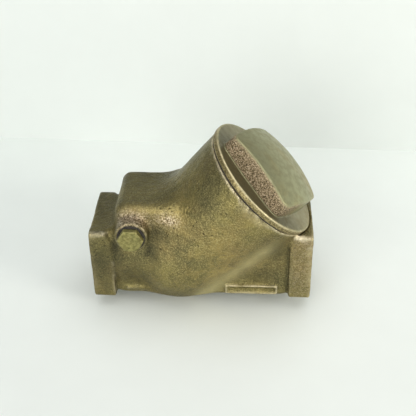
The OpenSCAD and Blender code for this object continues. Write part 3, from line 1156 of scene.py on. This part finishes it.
class VALVE_OT_rings(bpy.types.Operator):
    """Cap gasket, plug washer, seat disc and the two small washers"""

    bl_idname = "valve.rings"
    bl_label = "Gaskets and Washers"

    def execute(self, context):
        tree = ring_tree()
        fibre, seat, brass = "joint_fibre", "seat_polymer", "small_brass"
        finishes = {
            fibre: dull_solid(fibre, (0.050, 0.042, 0.034), (0.018, 0.015, 0.012), 0.82),
            seat: dull_solid(seat, (0.80, 0.79, 0.74), (0.70, 0.69, 0.63), 0.45, 260.0, 0.00002),
            brass: turned_metal(brass, (0.62, 0.50, 0.24), (0.26, 0.20, 0.09), 0.30),
        }
        on_boss = PIN_FRAME @ Matrix.Translation((0, 0, BOSS_FACE + 0.2))
        # Piece, node, body, slot, place, then inner and outer radius, thickness and edge.
        rings = (
            ("cap_gasket_ring", "cap_gasket", "cap_ring", fibre, up_axis(40.5), 18.4, 23.0, 0.6, 0.08),
            ("plug_washer_ring", "plug_washer", "valve", fibre, on_boss, 3.3, 5.0, 0.4, 0.08),
            ("seat_disc_ring", "seat_disc", "disc", seat, up_axis(-2.36), 1.6, 9.5, 1.6, 0.2),
            ("seat_washer_ring", "seat_disc_washer", "disc", brass, up_axis(-3.51), 1.6, 4.4, 0.7, 0.1),
            ("hanger_washer_ring", "hanger_washer", "disc", brass, up_axis(4.59), 2.4, 4.4, 0.7, 0.1),
        )
        for name, node, body, slot, matrix, inner, outer, thick, edge in rings:
            mesh = grown(
                name,
                tree,
                finishes[slot],
                matrix,
                Inner_Radius=inner * MM,
                Outer_Radius=outer * MM,
                Thickness=thick * MM,
                Edge=edge * MM,
                Sides=sizes().ring_sides,
            )
            add_piece(name, soften(mesh), body, [node])
        return {"FINISHED"}


# ---------------------------------------------------------------- small parts

def hexagon(x, y, flats):
    """Distance to a hexagon across the given flats, a corner on X."""
    ax, ay = np.abs(x), np.abs(y)
    return np.maximum(ay, ax * math.sqrt(3) / 2 + ay / 2) - flats / 2


def hex_head(x, y, z, flats, low, high, both):
    """Hexagon head whose corners are turned off in a cone at the top, or at both ends."""
    radial = np.sqrt(x**2 + y**2)
    solid = np.maximum(hexagon(x, y, flats), np.maximum(low - z, z - high))
    for depth in (high - z, z - low) if both else (high - z,):
        cone = (radial - (flats / 2 + depth * 1.7 - 0.05)) * 0.51
        solid = smooth_common(solid, cone, 0.15)
    return solid


def plug_field(x, y, z, axes):
    """The hex plug in the pin's frame, its dished head outwards, in millimetres."""
    radial = np.sqrt(x**2 + y**2)
    head = hex_head(x, y, z, 8.1, BOSS_FACE + 0.4, PLUG_TOP, False)
    shank = rod(radial, z, 3.25, 12.65, BOSS_FACE + 1.0, 0.25)
    wear = 0.05 * lumps(*axes, 1.4, 31) + 0.04 * lumps(*axes, 0.6, 32)
    dish = np.sqrt(x**2 + y**2 + (z - PLUG_TOP - 16.0) ** 2) - 16.12
    return smooth_union(smooth_cut(head + wear, dish, 0.2), shank, 0.2)


def plug_brass():
    """Dull yellow brass of the plug, darker in its hollows."""
    material, tree, shader, coords = new_material("plug_brass")
    grain = use_group(tree, "Cast Grain", coords, Grain_Scale=1600.0, Pit_Scale=900.0)
    tarnish = use_group(tree, "Tarnish Clouds", coords, Cloud_Scale=220.0, Speck_Scale=900.0)
    wear = use_group(tree, "Edge Wear", coords, Breakup_Scale=700.0)
    base = shade("brass")
    layers = (
        (tarnish["Dark"], 0.7, dimmed(base, 0.42)),
        (tarnish["Warm"], 0.4, (0.30, 0.24, 0.09)),
        (tarnish["Specks"], 0.55, (0.46, 0.42, 0.17)),
        (grain["Pits"], 0.8, dimmed(base, 0.2)),
        (wear["Grime"], 0.8, (0.03, 0.026, 0.012)),
        (wear["Rubbed"], 0.8, (0.72, 0.66, 0.36)),
    )
    spread = ramp(tree, tarnish["Specks"], ((0.0, 0.42), (1.0, 0.58)))
    give_finish(tree, shader, layered(tree, base, layers), 0.85, spread)
    bump_into(tree, shader, grain["Height"], 0.0004)
    return material


class VALVE_OT_plug(bpy.types.Operator):
    """Hex plug that closes the pin hole, and the hinge pin behind it"""

    bl_idname = "valve.pin_plug"
    bl_label = "Pin and Plug"

    def execute(self, context):
        low, high = (-5.4, -5.4, 12.0), (5.4, 5.4, 22.0)
        mesh = field_mesh("hex_plug", plug_field, low, high, sizes().small_step)
        settle_mesh(mesh, PIN_FRAME)
        add_piece("hex_plug", mesh, "valve", ["pin_plug"], [plug_brass()])
        back, front, chamfer = -10.4, 12.2, 0.3
        tip = PIN_R - chamfer
        profile = ((0, back), (tip, back), (PIN_R, back + chamfer))
        profile += ((PIN_R, front - chamfer), (tip, front), (0, front))
        pin = soften(turned_mesh("hinge_pin_bar", profile, 64))
        steel = turned_metal("pin_steel", (0.52, 0.51, 0.49), (0.26, 0.24, 0.22), 0.28, 1.0, 0.3)
        settle_mesh(pin, PIN_FRAME)
        add_piece("hinge_pin_bar", pin, "valve", ["hinge_pin"], [steel])
        return {"FINISHED"}


def hanger_field(x, y, z, axes):
    """The hanger in the cap's frame, its eye on the pin and its hub round the stem."""
    low, high, half_w = 0.74, 4.14, 5.5
    eye_line = np.sqrt((x + PIN_REACH) ** 2 + z**2)
    eye = rod(eye_line, y, 3.4, -half_w, half_w, 0.3)
    hub = rod(np.sqrt(x**2 + y**2), z, 4.8, low, high, 0.35)
    arm_half = 4.0 + 1.5 * -x / PIN_REACH
    arm = np.maximum(np.abs(y) - arm_half, np.maximum(-x - PIN_REACH, x))
    arm = smooth_common(arm, np.abs(z - low - 1.4) - 1.4, 0.5)
    solid = smooth_union(smooth_union(eye, arm, 0.7), hub, 0.8)
    solid = np.maximum(solid + 0.03 * lumps(*axes, 2.6, 41), np.abs(y) - half_w)
    # Flat underneath, except round the eye.
    solid = np.maximum(solid, low - z + 100.0 * (x < -17.0))
    hole = np.minimum(eye_line - 1.95, np.sqrt(x**2 + y**2) - 2.45)
    return smooth_cut(solid, hole, 0.2)


class VALVE_OT_hanger(bpy.types.Operator):
    """Swinging hanger with its eye and hub"""

    bl_idname = "valve.disc_hanger"
    bl_label = "Disc Hanger"

    def execute(self, context):
        low, high = (-26.6, -6.2, -4.0), (5.6, 6.2, 5.0)
        mesh = field_mesh("swing_hanger", hanger_field, low, high, 0.2, 0.002)
        settle_mesh(mesh, CAP_FRAME)
        tones = ((0.36, 0.28, 0.14), (0.17, 0.13, 0.07), (0.33, 0.22, 0.10), (0.62, 0.50, 0.30))
        cast = cast_bronze("inner_bronze", *tones, depth=0.00012, rough=(0.42, 0.58))[0]
        add_piece("swing_hanger", mesh, "hanger", ["disc_hanger"], [cast])
        return {"FINISHED"}


def disc_profile():
    """Half section of the disc holder: its stud below, its dish, and its threaded stem above."""
    top, lip, low = 0.54, -2.56, -1.56
    stud_r, cup_r, disc_r, stem_r, root_r = 1.6, 9.5, 10.8, 2.4, 2.15
    stud_end, thread_low, thread_high, stem_end = -6.46, 4.9, 7.0, 7.54
    profile = [(0, stud_end), (stud_r - 0.2, stud_end), (stud_r, stud_end + 0.2), (stud_r, low)]
    profile += [(cup_r, low), (cup_r, lip), (disc_r - 0.2, lip), (disc_r, lip + 0.2)]
    profile += [(disc_r, top - 0.4), (disc_r - 0.4, top), (stem_r + 0.8, top)]
    profile += [(stem_r, top + 0.16), (stem_r, thread_low)]
    z = thread_low
    while z < thread_high:
        profile += [(stem_r, z + 0.12), (root_r, z + 0.35), (stem_r, z + 0.58)]
        z += 0.6
    return profile + [(stem_r, 7.3), (root_r, stem_end), (0, stem_end)]


class VALVE_OT_disc(bpy.types.Operator):
    """Disc holder and the two nuts on its stem and stud"""

    bl_idname = "valve.disc_parts"
    bl_label = "Disc and Nuts"

    def execute(self, context):
        mesh = soften(turned_mesh("disc_carrier", disc_profile(), 128))
        settle_mesh(mesh, CAP_FRAME)
        worked = turned_metal("disc_bronze", (0.50, 0.40, 0.21), (0.20, 0.15, 0.07), 0.36)
        add_piece("disc_carrier", mesh, "disc", ["disc_holder"], [worked])
        brass = bpy.data.materials["small_brass"]
        # Piece, node, width across flats, lower and upper face, bore.
        nuts = (
            ("stem_nut", "hanger_nut", 7.4, 4.94, 6.94, 2.42),
            ("stud_nut", "seat_disc_nut", 5.4, -5.86, -3.86, 1.62),
        )
        for name, node, flats, bottom, top, bore in nuts:
            def nut_field(x, y, z, axes):
                solid = hex_head(x, y, z, flats, bottom, top, True)
                return smooth_cut(solid, np.sqrt(x**2 + y**2) - bore, 0.25)

            low, high = (-4.6, -4.6, bottom - 0.5), (4.6, 4.6, top + 0.5)
            mesh = field_mesh(name, nut_field, low, high, sizes().small_step)
            settle_mesh(mesh, CAP_FRAME)
            add_piece(name, mesh, "disc", [node], [brass])
        return {"FINISHED"}


# ---------------------------------------------------------------- stage

def stage_surface(name, colour, rough):
    """Plain pale surface with a faint mottle."""
    material, tree, shader, coords = new_material(name)
    mottle = noise(tree, coords, 14.0, 4.0, 0.6)
    pale = ramp(tree, mottle, ((0.35, dimmed(colour, 0.965)), (0.65, colour)))
    give_finish(tree, shader, pale, 0.0, rough)
    shader.inputs["Specular IOR Level"].default_value = 0.2
    # Seen from behind, the floor and the wall let the eye through to the valve.
    out = next(n for n in tree.nodes if n.type == "OUTPUT_MATERIAL")
    either = tree.nodes.new("ShaderNodeMixShader")
    feed(tree, tree.nodes.new("ShaderNodeNewGeometry").outputs["Backfacing"], either.inputs[0])
    feed(tree, shader.outputs[0], either.inputs[1])
    feed(tree, tree.nodes.new("ShaderNodeBsdfTransparent").outputs[0], either.inputs[2])
    feed(tree, either.outputs[0], out.inputs[0])
    return material


def flat_sheet(name, corners, material):
    """One staged face."""
    mesh = bpy.data.meshes.new(name)
    mesh.from_pydata(corners, [], [tuple(range(len(corners)))])
    mesh.materials.append(material)
    obj = link(bpy.data.objects.new(name, mesh))


def area_light(name, place, size, power, colour):
    """Soft square light aimed at the valve, in metres and watts."""
    data = bpy.data.lights.new(name, "AREA")
    data.shape = "RECTANGLE"
    data.size, data.size_y = size, size
    data.energy, data.color = power, colour
    light = link(bpy.data.objects.new(name, data))
    light.location = place
    aim = Vector((0.04, 0.0, 0.01))
    light.rotation_euler = (aim - Vector(place)).to_track_quat("-Z", "Y").to_euler()


def view_camera():
    """Camera that looks down on the front of the valve."""
    lift, turn, roll = math.radians(33.84), math.radians(-3.31), math.radians(-0.78)
    target, distance = Vector((0.04206, 0.0, 0.01645)), 0.29838
    forward = Vector((math.sin(turn) * math.cos(lift), math.cos(turn) * math.cos(lift), -math.sin(lift)))
    level = Vector((math.cos(turn), -math.sin(turn), 0.0))
    above = level.cross(forward)
    right = math.cos(roll) * level + math.sin(roll) * above
    up = -math.sin(roll) * level + math.cos(roll) * above
    data = bpy.data.cameras.new("view_camera")
    data.lens, data.sensor_width = 70.72, 36.0
    data.clip_start, data.clip_end = 0.01, 20.0
    camera = link(bpy.data.objects.new("view_camera", data))
    spot = target - forward * distance
    camera.matrix_world = Matrix(
        (
            (right.x, up.x, -forward.x, spot.x),
            (right.y, up.y, -forward.y, spot.y),
            (right.z, up.z, -forward.z, spot.z),
            (0, 0, 0, 1),
        )
    )
    bpy.context.scene.camera = camera


def soft_world():
    """Studio surroundings: brightest round the horizon and straight above."""
    world = bpy.data.worlds.new("studio")
    bpy.context.scene.world = world
    world.use_nodes = True
    tree = world.node_tree
    tree.nodes.clear()
    coords = tree.nodes.new("ShaderNodeTexCoord")
    split = add_node(tree, "ShaderNodeSeparateXYZ", Vector=coords.outputs["Generated"])
    height = math_node(tree, "ADD", times(tree, split.outputs["Z"], 0.5), 0.5)
    tones = (
        (0.40, (0.42, 0.42, 0.40)),
        (0.55, (0.50, 0.51, 0.49)),
        (0.66, (0.17, 0.18, 0.18)),
        (0.86, (0.20, 0.21, 0.21)),
        (1.0, (0.45, 0.46, 0.46)),
    )
    glow = add_node(tree, "ShaderNodeBackground", Color=ramp(tree, height, tones), Strength=1.05)
    out = tree.nodes.new("ShaderNodeOutputWorld")
    feed(tree, glow.outputs[0], out.inputs[0])


class VALVE_OT_stage(bpy.types.Operator):
    """Pale floor and wall, soft lights and the camera"""

    bl_idname = "valve.stage"
    bl_label = "Stage"

    def execute(self, context):
        floor_z, wall_z, far = -0.0197, 0.085, 1.6
        left, left_y, right_y, lean = -1.5, 0.166, 0.0556, 0.01
        pale = shade("floor")
        floor = [(x, y, floor_z) for x, y in ((-far, -far), (far, -far), (far, far), (-far, far))]
        wall = ((left, left_y, floor_z), (far, right_y, floor_z))
        wall += ((far, right_y + lean, wall_z), (left, left_y + lean, wall_z))
        flat_sheet("floor", floor, stage_surface("studio_floor", pale, 0.75))
        flat_sheet("wall", wall, stage_surface("studio_wall", dimmed(pale, 0.93), 0.9))
        area_light("top_light", (0.10, -0.05, 0.62), 0.70, 2.0, (1.0, 0.995, 0.97))
        area_light("front_light", (-0.22, -0.62, 0.26), 0.60, 3.2, (1.0, 0.995, 0.97))
        area_light("right_light", (0.55, -0.28, 0.24), 0.22, 1.5, (1.0, 0.96, 0.88))
        soft_world()
        view_camera()
        bpy.context.scene.view_settings.view_transform = "Standard"
        return {"FINISHED"}


# ---------------------------------------------------------------- panel and start

# The operators in the order in which they run.
STEPS = (
    "valve.body_casting",
    "valve.square_cap",
    "valve.threads",
    "valve.rings",
    "valve.pin_plug",
    "valve.disc_hanger",
    "valve.disc_parts",
    "valve.stage",
)


class VALVE_PT_panel(bpy.types.Panel):
    """Lists the valve's pieces and their sizes"""

    bl_idname = "VALVE_PT_panel"
    bl_label = "Swing Check Valve"
    bl_space_type = "VIEW_3D"
    bl_region_type = "UI"
    bl_category = "Valve"

    def draw(self, context):
        layout = self.layout
        column = layout.column()
        for step in STEPS:
            column.operator(step)
        scene = context.scene
        for group, values in ((ValveSizes, scene.valve_sizes), (ValveColours, scene.valve_colours)):
            box = layout.box()
            for name in group.__annotations__:
                box.prop(values, name)


CLASSES = (
    ValveSizes,
    ValveColours,
    VALVE_OT_body,
    VALVE_OT_cap,
    VALVE_OT_threads,
    VALVE_OT_rings,
    VALVE_OT_plug,
    VALVE_OT_hanger,
    VALVE_OT_disc,
    VALVE_OT_stage,
    VALVE_PT_panel,
)


def register():
    """Registers the classes and gives the scene its sizes and colours."""
    for entry in CLASSES:
        bpy.utils.register_class(entry)
    bpy.types.Scene.valve_sizes = PointerProperty(type=ValveSizes)
    bpy.types.Scene.valve_colours = PointerProperty(type=ValveColours)


def unregister():
    """Takes back what register gave."""
    del bpy.types.Scene.valve_colours
    del bpy.types.Scene.valve_sizes
    for entry in reversed(CLASSES):
        bpy.utils.unregister_class(entry)


def main():
    """Builds every piece in order."""
    register()
    for step in STEPS:
        group, name = step.split(".")
        getattr(getattr(bpy.ops, group), name)()


if __name__ == "__main__":
    main()
